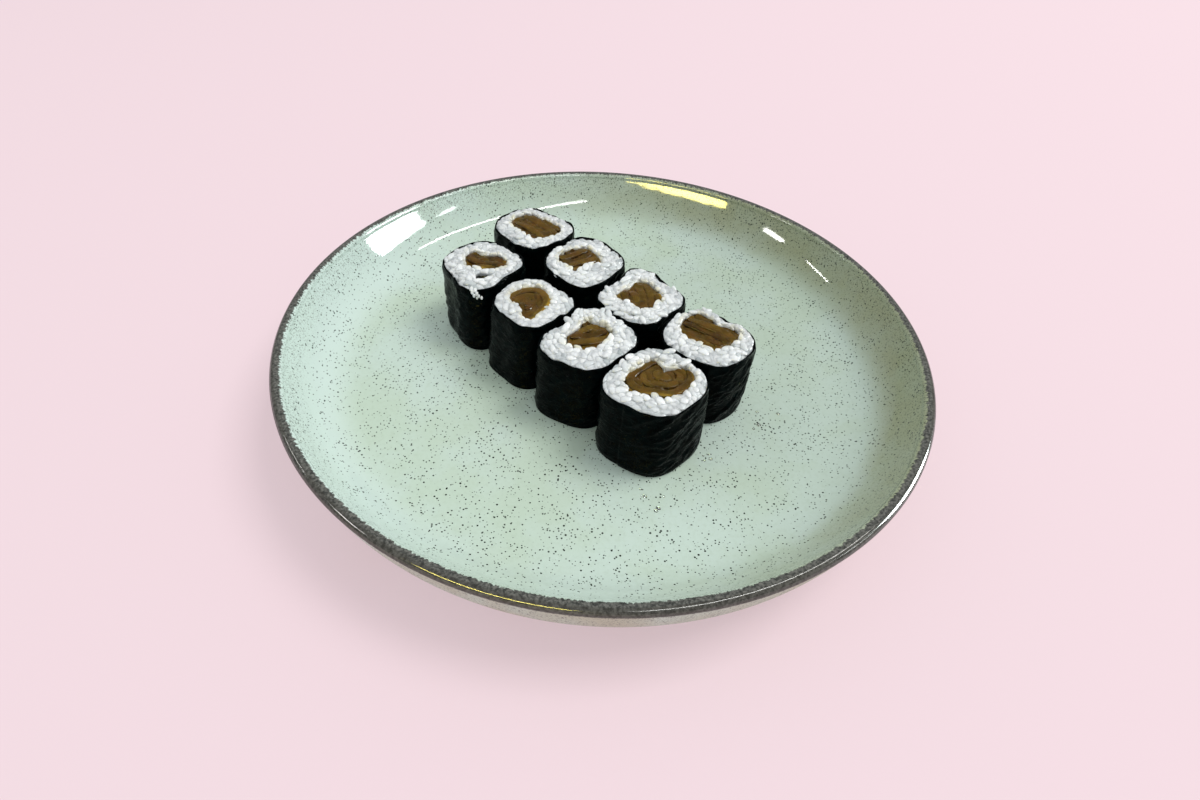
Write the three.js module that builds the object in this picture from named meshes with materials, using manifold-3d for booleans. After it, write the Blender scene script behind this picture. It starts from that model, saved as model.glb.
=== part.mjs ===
// Eight cut maki rolls filled with simmered gourd strips, standing on end in two rows on a round
// stoneware plate. Units are millimetres and +Z is up. The origin is the middle of the plate's foot,
// on the surface that the plate stands on. The rows run from the far left to the near right.
import * as THREE from 'three';
import Module from 'manifold-3d';

const wasm = await Module();
wasm.setup();

// Plate: outer radius, the foot it stands on, the flat floor inside and the round lip.
const PLATE_RADIUS = 102.5;
const PLATE_SIDES = 60;
const FOOT = { inner: 57, flatFrom: 58.6, flatTo: 62.2, outer: 64.5, height: 3.2 };
const FLOOR = { radius: 76, z: 8 };
const LIP = { radius: 1.85, z: 24.5 };

// The curves of the wall, outside and inside. Each leaves the level at from, is drawn out to turn
// and then up past the point at radius and z to the lip.
const OUTER_WALL = { from: 76, turn: 99, radius: 99.4, z: 12.5 };
const INNER_WALL = { from: FLOOR.radius, turn: 90, radius: 94.2, z: 15 };
const WALL_STEPS = 6;
const LIP_STEPS = 5;

// A roll is an eighth of a half sheet of nori high. Its rice stands a little proud of the nori.
const ROLL_HEIGHT = 24;
const NORI_WALL = 0.75;
const NORI_TUCK = 0.35;
const TUCK_HEIGHT = 1.6;
const SIDES = 30;
const REST_GAP = 0.25;
const WRAP_GAP = 0.25;

// Height of the rice at the nori, between nori and filling, and at the filling.
const RICE_TOP = [23.6, 24.3, 24.5, 24.1];
const RICE_BUMP = { height: 0.4, width: 2.6, slant: 0.4 };

// A grain is thickest between its shoulders, which are this share of its length from its middle.
const GRAIN = { length: 5.4, width: 2.5, thickness: 2.1, sides: 6, shoulder: 0.24 };
const GRAINS_A_ROLL = 8;
const GOLDEN_TURN = Math.PI * (3 - Math.sqrt(5));

// Where a fused grain may lie: its share of the way from nori to filling, how far it turns and tilts
// in radians, how far its middle is above the rice, and the shares it is shortened to until it fits.
const SCATTER = { nearest: 0.38, spread: 0.24, turn: 1.1, tilt: 0.25, lift: 0.15, uneven: 0.4 };
const SHORTER = [1, 0.85, 0.7];
const CLEARANCE = { filling: 0.45, nori: 0.4, overNori: 0.3, outerEdge: 0.2 };

// Height of the filling at its edge and on two rings in from it, how far in these are as shares of
// the way to its middle, and the folds of its strips.
const FILLING_TOP = [23.5, 24.1, 24.3];
const FILLING_RINGS = [0.35, 0.7];
const FOLD = { height: 0.35, width: 3.2 };

// The eight rolls. at is the middle of the roll on the plate, and size its mean radius at the top.
// stretch, skew and square make the outline long, three-cornered and four-cornered: each is a share
// of the size and the direction in degrees of one of its high points. base is how far the foot of
// the roll is moved and how much wider it is than the top. heap is how proud the rice stands on the
// roll's far side. A filling has its own outline, its place in the roll, and a notch: its depth in
// millimetres (a tail if positive), direction and width.
const ROLLS = [
  {
    name: 'left_1', at: [-43.5, 15.3], size: 13.5,
    stretch: [0.05, 83], skew: [0.053, 26], square: [0.07, 4],
    base: { x: 0, y: -0.6, wider: 0.3 }, heap: 0.3,
    filling: {
      at: [0.5, 1.6], size: 6.2, stretch: [0.265, 169], skew: [0.05, 13], square: [0.075, 47],
      notch: [-1.6, 111, 14], folds: 170,
    },
  },
  {
    name: 'left_2', at: [-24, -3.9], size: 12.4,
    stretch: [0.03, 143], skew: [0.034, 9], square: [0.07, 5],
    base: { x: -1.5, y: -0.5, wider: 1.1 }, heap: 1,
    filling: {
      at: [-1.1, 0.4], size: 7.2, stretch: [0.168, 95], skew: [0.12, 31], square: [0.07, 79],
      notch: [-2.7, 244, 15], folds: 110,
    },
  },
  {
    name: 'left_3', at: [-5, -19.9], size: 13.6,
    stretch: [0.09, 40], skew: [0.04, 88], square: [0.075, 10],
    base: { x: -1, y: -0.4, wider: 0.1 }, heap: 1.6,
    filling: {
      at: [-0.5, 2], size: 6.3, stretch: [0.155, 42], skew: [0.09, 93], square: [0.08, 17],
      notch: [-1.3, 200, 15], folds: 20,
    },
  },
  {
    name: 'left_4', at: [14.5, -36.2], size: 13.9,
    stretch: [0.065, 16], skew: [0.012, 78], square: [0.06, 8],
    base: { x: 0.3, y: -0.4, wider: 0.4 }, heap: 1.8,
    filling: {
      at: [1.3, 1.8], size: 8.4, stretch: [0.17, 11], skew: [0.045, 85], square: [0.07, 19],
      notch: [-3.7, 71, 14], folds: 25,
    },
  },
  {
    name: 'right_1', at: [-29.7, 40.6], size: 13.7,
    stretch: [0.05, 151], skew: [0.042, 10], square: [0.055, 5],
    base: { x: 0, y: 0, wider: 0.2 }, heap: 0,
    filling: {
      at: [0.6, 1.2], size: 8.4, stretch: [0.21, 142], skew: [0.033, 109], square: [0.067, 88],
      notch: [-1.6, 79, 15], folds: 140,
    },
  },
  {
    name: 'right_2', at: [-9.4, 21.5], size: 14,
    stretch: [0.07, 80], skew: [0.017, 89], square: [0.065, 6],
    base: { x: 0, y: 0, wider: 0.2 }, heap: 0.4,
    filling: {
      at: [-2.3, 1.7], size: 6.5, stretch: [0.17, 28], skew: [0.035, 104], square: [0.115, 79],
      notch: [1.4, 124, 16], folds: 35,
    },
  },
  {
    name: 'right_3', at: [10, 3.7], size: 13.8,
    stretch: [0.055, 72], skew: [0.045, 93], square: [0.1, 3],
    base: { x: 0, y: 0, wider: 0.1 }, heap: 0.6,
    filling: {
      at: [-0.2, 1], size: 6.8, stretch: [0.06, 85], skew: [0.12, 69], square: [0.11, 8],
      notch: [1.5, 344, 14], folds: 105,
    },
  },
  {
    name: 'right_4', at: [30.5, -14.5], size: 13.6,
    stretch: [0.067, 155], skew: [0.013, 110], square: [0.035, 8],
    base: { x: 0, y: 0.2, wider: 0.2 }, heap: 0.6,
    filling: {
      at: [0.3, 3.1], size: 8.2, stretch: [0.17, 157], skew: [0.08, 4], square: [0.058, 11],
      notch: [-2.6, 37, 15], folds: 150,
    },
  },
];

// A few grains hang over the nori at the near corner of one roll. Each has its direction from the
// roll's middle, its distance outside the nori there, its height, and how far its outer end is down.
const SCRAP_ROLL = 'left_1';
const SCRAP = [
  { to: -91, out: -1.6, z: 24.95, lean: -20 },
  { to: -90, out: 1.7, z: 23.4, lean: 70 },
  { to: -84, out: 2.2, z: 21.8, lean: 76 },
];

const PLATE_COLOUR = '#bccfbf';
const NORI_COLOUR = '#0c120e';
const RICE_COLOUR = '#e6e8ea';
const FILLING_COLOUR = '#8a5a22';

// A number from 0 to 1 that is always the same for the same seed and step.
function seeded(seed, step) {
  const value = Math.sin(seed * 127.1 + step * 311.7) * 43758.5453;
  return value - Math.floor(value);
}

function radians(degrees) {
  return degrees * Math.PI / 180;
}

// Distance from an uneven outline's middle to its edge in one direction.
function outlineRadius(outline, angle) {
  const wave = ([share, towards], corners) => share * Math.cos(corners * (angle - radians(towards)));
  let radius = outline.size;
  radius *= 1 + wave(outline.stretch, 2) + wave(outline.skew, 3) + wave(outline.square, 4);
  if (outline.notch) {
    const [depth, towards, width] = outline.notch;
    const away = Math.atan2(Math.sin(angle - radians(towards)), Math.cos(angle - radians(towards)));
    radius += depth * Math.exp(-((away / radians(width)) ** 2));
  }
  return radius;
}

// One loop of points round an outline at one height, moved in or out by the offset.
function outlineLoop(outline, z, offset = 0, middle = [0, 0]) {
  return Array.from({ length: SIDES }, (_, step) => {
    const angle = 2 * Math.PI * step / SIDES;
    const radius = outlineRadius(outline, angle) + offset;
    return new THREE.Vector3(middle[0] + radius * Math.cos(angle), middle[1] + radius * Math.sin(angle), z);
  });
}

function geometryFrom(points, triangles) {
  const geometry = new THREE.BufferGeometry();
  const numbers = points.flatMap((each) => [each.x, each.y, each.z]);
  geometry.setAttribute('position', new THREE.Float32BufferAttribute(numbers, 3));
  geometry.setIndex(triangles);
  return geometry;
}

// Two triangles between each pair of neighbouring points of two loops.
function joinLoops(first, second, sides) {
  const triangles = [];
  for (let step = 0; step < sides; step += 1) {
    const next = (step + 1) % sides;
    triangles.push(first + step, first + next, second + next);
    triangles.push(first + step, second + next, second + step);
  }
  return triangles;
}

// A ring-shaped body through loops that go up outside, in over the top and down the hole.
function ringBody(loops) {
  const sides = loops[0].length;
  const triangles = loops.flatMap((_, index) => (
    joinLoops(index * sides, ((index + 1) % loops.length) * sides, sides)
  ));
  return geometryFrom(loops.flat(), triangles);
}

// A body without a hole through loops from the bottom up, closed by a point at each end.
function cappedBody(loops, bottom, top) {
  const sides = loops[0].length;
  const points = [...loops.flat(), bottom, top];
  const bottomIndex = points.length - 2;
  const topIndex = points.length - 1;
  const lastLoop = (loops.length - 1) * sides;
  const triangles = [];
  for (let index = 0; index + 1 < loops.length; index += 1) {
    triangles.push(...joinLoops(index * sides, (index + 1) * sides, sides));
  }
  for (let step = 0; step < sides; step += 1) {
    const next = (step + 1) % sides;
    triangles.push(bottomIndex, next, step);
    triangles.push(topIndex, lastLoop + step, lastLoop + next);
  }
  return geometryFrom(points, triangles);
}

// The plate turned from its section: foot, rising wall, round lip, inner wall and flat floor.
function plateGeometry() {
  const point = (radius, z) => new THREE.Vector2(radius, z);
  const foot = [
    point(0, FOOT.height),
    point(FOOT.inner, FOOT.height),
    point(FOOT.flatFrom, 0),
    point(FOOT.flatTo, 0),
    point(FOOT.outer, FOOT.height),
  ];
  const outerWall = new THREE.CubicBezierCurve(
    point(OUTER_WALL.from, FOOT.height),
    point(OUTER_WALL.turn, FOOT.height),
    point(OUTER_WALL.radius, OUTER_WALL.z),
    point(PLATE_RADIUS, LIP.z),
  );
  const lipRadius = PLATE_RADIUS - LIP.radius;
  const lip = new THREE.EllipseCurve(lipRadius, LIP.z, LIP.radius, LIP.radius, 0, Math.PI);
  const innerWall = new THREE.CubicBezierCurve(
    point(lipRadius - LIP.radius, LIP.z),
    point(INNER_WALL.radius, INNER_WALL.z),
    point(INNER_WALL.turn, FLOOR.z),
    point(INNER_WALL.from, FLOOR.z),
  );
  const section = [
    ...foot,
    ...outerWall.getPoints(WALL_STEPS),
    ...lip.getPoints(LIP_STEPS).slice(1),
    ...innerWall.getPoints(WALL_STEPS).slice(1),
    point(0, FLOOR.z),
  ];
  const geometry = new THREE.LatheGeometry(section, PLATE_SIDES);
  geometry.rotateX(Math.PI / 2);
  return geometry;
}

// A loop round a roll at one height, moved and widened more the nearer it is to the roll's foot.
function rollLoop(roll, z, offset) {
  const { x, y, wider } = roll.base;
  const share = 1 - z / ROLL_HEIGHT;
  return outlineLoop(roll, z, offset + share * wider, [share * x, share * y]);
}

// The nori: one wall all round the roll, drawn in a little at its cut edges.
function noriGeometry(roll) {
  const loop = (z, offset) => rollLoop(roll, z, offset);
  return ringBody([
    loop(0, -NORI_TUCK),
    loop(TUCK_HEIGHT, 0),
    loop(ROLL_HEIGHT - TUCK_HEIGHT, 0),
    loop(ROLL_HEIGHT, -NORI_TUCK),
    loop(ROLL_HEIGHT, -NORI_WALL),
    loop(0, -NORI_WALL),
  ]);
}

// Low bumps of a grain's size on the top of the rice.
function riceBump(x, y, seed) {
  const { height, width, slant } = RICE_BUMP;
  const one = Math.sin(Math.PI / width * (x + slant * y) + seed);
  const other = Math.sin(Math.PI / width * (y - slant * x) - seed);
  return height * one * other;
}

// How much higher the rice is heaped in one direction: most on the far side, nothing on the near.
function heapRise(roll, angle) {
  return roll.heap * (0.5 + 0.5 * Math.sin(angle)) ** 2;
}

// The packed rice between the nori and the filling, with a bumpy top and the filling's hole.
function riceCore(roll, seed) {
  const edge = -NORI_WALL - WRAP_GAP;
  const bottom = rollLoop(roll, 0, edge);
  const outer = rollLoop(roll, RICE_TOP[0], edge);
  const hole = outlineLoop(roll.filling, 0, WRAP_GAP, roll.filling.at);
  const topRing = (share, height) => outer.map((point, step) => {
    const place = point.clone().lerp(hole[step], share);
    const inside = share > 0 && share < 1;
    const rise = (1 - share) * heapRise(roll, 2 * Math.PI * step / SIDES);
    place.z = height + rise + (inside ? riceBump(place.x, place.y, seed) : 0);
    return place;
  });
  const last = RICE_TOP.length - 1;
  const top = RICE_TOP.map((height, index) => topRing(index / last, height));
  return ringBody([bottom, ...top, hole]);
}

// One grain of rice lying along X, a six-sided spindle.
function grainGeometry(length) {
  const loopAt = (x) => Array.from({ length: GRAIN.sides }, (_, step) => {
    const angle = 2 * Math.PI * step / GRAIN.sides;
    return new THREE.Vector3(x, Math.cos(angle) * GRAIN.width / 2, Math.sin(angle) * GRAIN.thickness / 2);
  });
  const loops = [loopAt(-length * GRAIN.shoulder), loopAt(length * GRAIN.shoulder)];
  return cappedBody(loops, new THREE.Vector3(-length / 2, 0, 0), new THREE.Vector3(length / 2, 0, 0));
}

// Whether a grain stays in the rice: clear of the filling, and inside the nori or above it.
function grainFits(geometry, roll) {
  const place = new THREE.Vector3();
  const positions = geometry.getAttribute('position');
  for (let index = 0; index < positions.count; index += 1) {
    place.fromBufferAttribute(positions, index);
    const nori = outlineRadius(roll, Math.atan2(place.y, place.x)) - Math.hypot(place.x, place.y);
    const x = place.x - roll.filling.at[0];
    const y = place.y - roll.filling.at[1];
    const filling = Math.hypot(x, y) - outlineRadius(roll.filling, Math.atan2(y, x));
    const above = place.z > ROLL_HEIGHT + CLEARANCE.overNori;
    const least = above ? CLEARANCE.outerEdge : NORI_WALL + CLEARANCE.nori;
    if (filling < CLEARANCE.filling || nori < least) {
      return false;
    }
  }
  return true;
}

// One grain at an angle round the roll, half sunk in the rice, or nothing where none fits. The four
// chances, from 0 to 1, set its place, lift, tilt and turn.
function topGrain(roll, angle, chances) {
  const [place, lift, tilt, turn] = chances;
  const toNori = new THREE.Vector2(Math.cos(angle), Math.sin(angle));
  const toFilling = toNori.clone().multiplyScalar(outlineRadius(roll.filling, angle));
  toFilling.x += roll.filling.at[0];
  toFilling.y += roll.filling.at[1];
  toNori.multiplyScalar(outlineRadius(roll, angle) - NORI_WALL);
  const share = SCATTER.nearest + SCATTER.spread * place;
  const middle = toNori.lerp(toFilling, share);
  const rise = (1 - share) * heapRise(roll, angle) + SCATTER.lift + SCATTER.uneven * lift;
  for (const shorter of SHORTER) {
    const grain = grainGeometry(GRAIN.length * shorter);
    grain.rotateY(SCATTER.tilt * (tilt - 0.5));
    grain.rotateZ(angle + Math.PI / 2 + SCATTER.turn * (turn - 0.5));
    grain.translate(middle.x, middle.y, RICE_TOP[1] + rise);
    if (grainFits(grain, roll)) {
      return [grain];
    }
  }
  return [];
}

// The grains that show on top, spread evenly round the roll.
function topGrains(roll, seed) {
  const steps = Array.from({ length: GRAINS_A_ROLL }, (_, step) => step);
  return steps.flatMap((step) => {
    const chances = [0, 1, 2, 3].map((which) => seeded(seed + which, step));
    return topGrain(roll, step * GOLDEN_TURN + seed, chances);
  });
}

// The loose grains that hang over the nori at one corner.
function scrapGrains(roll) {
  return SCRAP.map(({ to, out, z, lean }) => {
    const angle = radians(to);
    const reach = outlineRadius(roll, angle) + out;
    const grain = grainGeometry(GRAIN.length);
    grain.rotateY(radians(lean));
    grain.rotateZ(angle);
    grain.translate(reach * Math.cos(angle), reach * Math.sin(angle), z);
    return grain;
  });
}

function solidFrom(geometry) {
  const vertProperties = Float32Array.from(geometry.getAttribute('position').array);
  const triVerts = Uint32Array.from(geometry.getIndex().array);
  return new wasm.Manifold(new wasm.Mesh({ numProp: 3, vertProperties, triVerts }));
}

// The rice of one roll as one body: its core and the grains fused to it.
function riceGeometry(roll, seed) {
  let solid = solidFrom(riceCore(roll, seed));
  const grains = topGrains(roll, seed);
  if (roll.name === SCRAP_ROLL) {
    grains.push(...scrapGrains(roll));
  }
  for (const grain of grains) {
    solid = solid.add(solidFrom(grain));
  }
  const mesh = solid.getMesh();
  const geometry = new THREE.BufferGeometry();
  geometry.setAttribute('position', new THREE.BufferAttribute(Float32Array.from(mesh.vertProperties), 3));
  geometry.setIndex(Array.from(mesh.triVerts));
  return geometry;
}

// The bundle of gourd strips, right through the roll, with the strips' folds as ridges on its top.
function fillingGeometry(filling) {
  const [x, y] = filling.at;
  const across = radians(filling.folds + 90);
  const fold = (place) => {
    const along = place.x * Math.cos(across) + place.y * Math.sin(across);
    return FOLD.height * Math.cos(2 * Math.PI * along / FOLD.width);
  };
  const edge = outlineLoop(filling, FILLING_TOP[0], 0, filling.at);
  const middle = new THREE.Vector3(x, y, FILLING_TOP[2]);
  const rings = FILLING_RINGS.map((share, ring) => edge.map((point) => {
    const place = point.clone().lerp(middle, share);
    place.z = FILLING_TOP[ring + 1] + fold(place) / (ring + 1);
    return place;
  }));
  const bottom = outlineLoop(filling, 0, 0, filling.at);
  return cappedBody([bottom, edge, ...rings], new THREE.Vector3(x, y, 0), middle);
}

function namedMesh(name, geometry, colour, roughness) {
  const material = new THREE.MeshStandardMaterial({ color: colour, roughness, metalness: 0 });
  const mesh = new THREE.Mesh(geometry, material);
  mesh.name = name;
  return mesh;
}

function rollGroup(roll, index) {
  const group = new THREE.Group();
  group.position.set(roll.at[0], roll.at[1], FLOOR.z + REST_GAP);
  group.add(namedMesh(`nori_${roll.name}`, noriGeometry(roll), NORI_COLOUR, 0.35));
  group.add(namedMesh(`rice_${roll.name}`, riceGeometry(roll, index + 1), RICE_COLOUR, 0.45));
  group.add(namedMesh(`filling_${roll.name}`, fillingGeometry(roll.filling), FILLING_COLOUR, 0.4));
  return group;
}

const sushi = new THREE.Group();
sushi.add(namedMesh('plate', plateGeometry(), PLATE_COLOUR, 0.2));
ROLLS.forEach((roll, index) => sushi.add(rollGroup(roll, index)));

export default sushi;
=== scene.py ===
"""The looks of a speckled stoneware plate with eight cut maki rolls filled with simmered gourd strips.

Shapes are in millimetres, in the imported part's frame, and become metres in the mesh. Every random draw
comes from a seeded generator.
"""
import math

import bpy
import numpy as np
from mathutils import Matrix, Vector


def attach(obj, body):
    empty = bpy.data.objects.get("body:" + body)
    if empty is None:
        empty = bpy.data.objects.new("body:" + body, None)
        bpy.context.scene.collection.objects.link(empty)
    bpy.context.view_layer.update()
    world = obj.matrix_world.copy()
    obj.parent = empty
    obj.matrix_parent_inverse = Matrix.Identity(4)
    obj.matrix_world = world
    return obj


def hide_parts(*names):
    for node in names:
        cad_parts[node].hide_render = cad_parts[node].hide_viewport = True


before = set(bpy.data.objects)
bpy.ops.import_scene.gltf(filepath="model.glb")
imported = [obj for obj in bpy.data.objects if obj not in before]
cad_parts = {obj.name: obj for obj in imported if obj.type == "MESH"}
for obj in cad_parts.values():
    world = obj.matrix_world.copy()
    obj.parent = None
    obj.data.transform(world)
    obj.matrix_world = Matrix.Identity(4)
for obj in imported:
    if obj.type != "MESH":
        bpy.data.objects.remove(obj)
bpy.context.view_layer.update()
scene = bpy.context.scene

MM = 0.001

# The plate's section: radii and heights of its foot, floor, lip and the curves of its wall.
FOOT = {"inner": 57, "flat_from": 58.6, "flat_to": 62.2, "outer": 64.5, "height": 3.2, "soft": 1}
FLOOR = {"radius": 76, "z": 8}
LIP = {"radius": 1.85, "middle": 100.65, "z": 24.5}
OUTER_WALL = [(76, 3.2), (99, 3.2), (99.4, 12.5), (102.5, 24.5)]
INNER_WALL = [(98.8, 24.5), (94.2, 15), (90, 8), (76, 8)]
PLATE_SIDES = 288

# A roll stands on the plate's floor. Its sheet of nori is thin, and drawn in at the cut edges.
ROLL_HEIGHT = 24
REST_HEIGHT = FLOOR["z"] + 0.25
NORI_THICK = 0.5
NORI_TUCK = 0.35
TUCK_HEIGHT = 1.8
ROLL_SIDES = 240

# The sheet's overlap: the direction of its step, by how much that turns between rolls, its height, and
# over how many radians it rises and the sheet comes back.
SEAM = {"at": 150, "turn": 40, "step": 0.3, "sharp": 0.012, "fades": (0.9, 0.2)}

# The sheet's folds slant up one way. Each kind: the size of a wave across the slant, how many times
# longer it is along it, and its depth. The fine ones are deepest towards one side of the roll.
FOLDS = {"slant": 38, "long": (6.5, 3.2, 0.32), "fine": (2.6, 2.2, 0.2), "fine_towards": -35}
FOLDS_SUNK = 0.22
FOLDS_LIMIT = 0.48
MEAN_RADIUS = 13

# The sheet's cut edge is ragged: how far it goes up and down, the size of a wave, and its reach down.
RAGGED = {"depth": 0.22, "size": 5, "reach": 4}

# The rice: its heights from the nori to the filling, the height of its plain side, and its grains. They
# are spread evenly by the golden turn round the ring and by the plastic share across it.
RICE_TOP = [23.5, 24, 24.15, 23.7]
RICE_SIDE = 22.5
GRAIN = {"length": 5.2, "width": 2.55, "thickness": 2.1}
GRAINS_A_ROLL = 150
PIT_DEPTH = 4.5
GOLDEN_TURN = math.pi * (3 - math.sqrt(5))
PLASTIC_SHARE = 0.7548776662

# How the grains lie: how deep they sit and how proud they are, the spread of their turn and of their
# tilt at the sheet and more at the filling, and their three sizes as shares of the usual grain's.
LIE = {"sunk": 0.5, "proud": (-0.35, 0.45), "turn": 0.9, "tilt": 0.3, "more_tilt": 0.45}
GRAIN_SIZES = {"length": (0.6, 1.04), "width": (0.86, 1.12), "thickness": (0.86, 1.1)}

# The share of its overlap with the sheet, the filling or a hollow that a grain keeps.
KEPT = {"sheet": 0.06, "filling": 0.25, "pit": 0.15}

# The knife presses grains down over a plane at this height, which waves up and down by a depth.
KNIFE = {"height": 24.25, "depth": 0.25, "size": 7, "give": 0.4}

# The bundle of gourd: the height of its side and of its top. Its strips: how thick each is across, the
# heights of its crown and fine grooves, its mean height, how far it reaches down into the bundle, and
# how many points its shortest line has.
BUNDLE = {"side": 22.6, "top": 23.75}
STRIP = {"thick": 2.6, "crown": 0.62, "groove": 0.03, "height": 23.55, "down": 1.5, "shortest": 8}

# The eight rolls. at is the roll's middle and size its mean radius at the top. stretch, skew and square
# make the outline long, three-cornered and four-cornered: a share of the size and the direction in
# degrees of a high point. base moves the foot by x and y and widens it, and heap is how proud the
# rice stands on the far side.
ROLL_COLUMNS = ("at", "size", "stretch", "skew", "square", "base", "heap")
ROLL_ROWS = {
    "left_1": ((-43.5, 15.3), 13.5, (0.05, 83), (0.053, 26), (0.07, 4), (0, -0.6, 0.3), 0.3),
    "left_2": ((-24, -3.9), 12.4, (0.03, 143), (0.034, 9), (0.07, 5), (-1.5, -0.5, 1.1), 1),
    "left_3": ((-5, -19.9), 13.6, (0.09, 40), (0.04, 88), (0.075, 10), (-1, -0.4, 0.1), 1.6),
    "left_4": ((14.5, -36.2), 13.9, (0.065, 16), (0.012, 78), (0.06, 8), (0.3, -0.4, 0.4), 1.8),
    "right_1": ((-29.7, 40.6), 13.7, (0.05, 151), (0.042, 10), (0.055, 5), (0, 0, 0.2), 0),
    "right_2": ((-9.4, 21.5), 14, (0.07, 80), (0.017, 89), (0.065, 6), (0, 0, 0.2), 0.4),
    "right_3": ((10, 3.7), 13.8, (0.055, 72), (0.045, 93), (0.1, 3), (0, 0, 0.1), 0.6),
    "right_4": ((30.5, -14.5), 13.6, (0.067, 155), (0.013, 110), (0.035, 8), (0, 0.2, 0.2), 0.6),
}

# Their fillings, placed from the roll's middle. notch is a depth, direction and width. folds is the
# direction, bend and fan of the strips, or, from the filling's middle, a point they are folded round.
FILLING_COLUMNS = ("at", "size", "stretch", "skew", "square", "notch", "folds")
FILLING_ROWS = {
    "left_1": ((0.5, 1.6), 6.2, (0.265, 169), (0.05, 13), (0.075, 47), (-1.6, 111, 14), (170, 0.25, 0.1)),
    "left_2": ((-1.1, 0.4), 7.2, (0.168, 95), (0.12, 31), (0.07, 79), (-2.7, 244, 15), (-1.2, -2.2)),
    "left_3": ((-0.5, 2), 6.3, (0.155, 42), (0.09, 93), (0.08, 17), (-1.3, 200, 15), (20, 0.35, 0.15)),
    "left_4": ((1.3, 1.8), 8.4, (0.17, 11), (0.045, 85), (0.07, 19), (-3.7, 71, 14), (1.3, 2.8)),
    "right_1": ((0.6, 1.2), 8.4, (0.21, 142), (0.033, 109), (0.067, 88), (-1.6, 79, 15), (140, 0.2, 0.05)),
    "right_2": ((-2.3, 1.7), 6.5, (0.17, 28), (0.035, 104), (0.115, 79), (1.4, 124, 16), (35, 0.5, 0.2)),
    "right_3": ((-0.2, 1), 6.8, (0.06, 85), (0.12, 69), (0.11, 8), (1.5, 344, 14), (105, 0.4, 0.1)),
    "right_4": ((0.3, 3.1), 8.2, (0.17, 157), (0.08, 4), (0.058, 11), (-2.6, 37, 15), (150, 0.3, 0.1)),
}

# Where a sheet pinches in: direction, depth and width, with how far down the roll that reaches, and the
# share of it that shows outside. Hollows in the rice, painted dark as painted shade: x, y and radius.
GAP_REACH = 7
GAP_OUTSIDE = 0.3
GAPS = {
    "left_2": [(100, 0.9, 9)], "right_2": [(91, 2.3, 8)],
    "right_3": [(122, 1.4, 8), (59, 1.7, 9)], "right_4": [(116, 1.7, 9), (55, 1.6, 8)],
}
PITS = {"left_1": [(0.8, -6.8, 1.8)]}

# The loose grains: their mean direction and its spread, how many, and between which shares of the way
# from the sheet, 0, to the filling, 1, they lie.
LOOSE = {
    "left_1": (250, 60, 6, 0, 0.65), "left_2": (229, 13, 7, 0.45, 1.05), "left_3": (120, 50, 14, 0, 0.65),
    "left_4": (105, 38, 13, 0, 0.65), "right_1": (260, 50, 3, 0, 0.65), "right_2": (190, 60, 12, 0, 0.65),
    "right_3": (245, 60, 12, 0, 0.65), "right_4": (95, 55, 8, 0, 0.65),
}

ROLLS = {
    name: dict(
        zip(ROLL_COLUMNS, row),
        filling=dict(zip(FILLING_COLUMNS, FILLING_ROWS[name])),
        gaps=GAPS.get(name, []),
        pits=PITS.get(name, []),
        loose=LOOSE[name],
    )
    for name, row in ROLL_ROWS.items()
}

# Grains that hang over the nori at the near corner of one roll: direction from the roll's middle,
# distance outside the nori, height, and how far the outer end is down. They are broken, so a grain's
# three sizes are times SCRAP_SIZE, and a factor that falls from the first to the last.
SCRAP_ROLL = "left_1"
SCRAP = [(-93, -0.9, 24.2, 10), (-88, -0.4, 24.2, 20), (-91, 0.1, 23.8, 50), (-86, 0.4, 23.4, 60),
         (-89, 0.6, 22.8, 80), (-84, 0.5, 22.5, 70), (-81, 0.6, 21.8, 50), (-86, 0.6, 21.9, 85)]
SCRAP_SIZE = (0.28, 0.38, 0.42)
SCRAP_FACTOR = (1.3, 0.75)

# Where the glaze turns olive, partly as painted shade, and the specks in it: size of a cell that may hold
# one, the speck's greatest reach as a share of the cell, and the share of cells that have one. Towards the
# same side the floor has painted shade, and the opposite wall has painted light.
WALL_TINT = {"towards": 15, "from": 86, "to": 96}
SPECKS = [(0.98, 0.36, 0.9), (1.9, 0.2, 0.7)]

# The dark band round the lip: between which radii it fades in on the inside, between which heights it
# fades in on the outside, and how far its two edges are frayed.
LIP_BAND = {"inner": (99.35, 99.75), "fray": 2.2, "outer": (24.1, 24.7), "outer_fray": 0.8}

# The shade of the imported rice under the grains, how far from the filling the rice is stained, and how
# much darker the hollows are painted, which is painted shade.
RICE_TONE = {"core": 0.6, "stained": 1.3, "pit": 4.5}

# Groups of droplets on the plate: x, y, spread and how many. A droplet's radius lies between two
# sizes, and its height is a share of its radius.
DROPLETS = [(15.7, -57, 2.2, 7), (33, -42, 1.6, 5), (52, -20, 5, 4), (-30, 62, 8, 4)]
DROPLET = {"radius": (0.25, 0.75), "height": 0.4}

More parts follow.
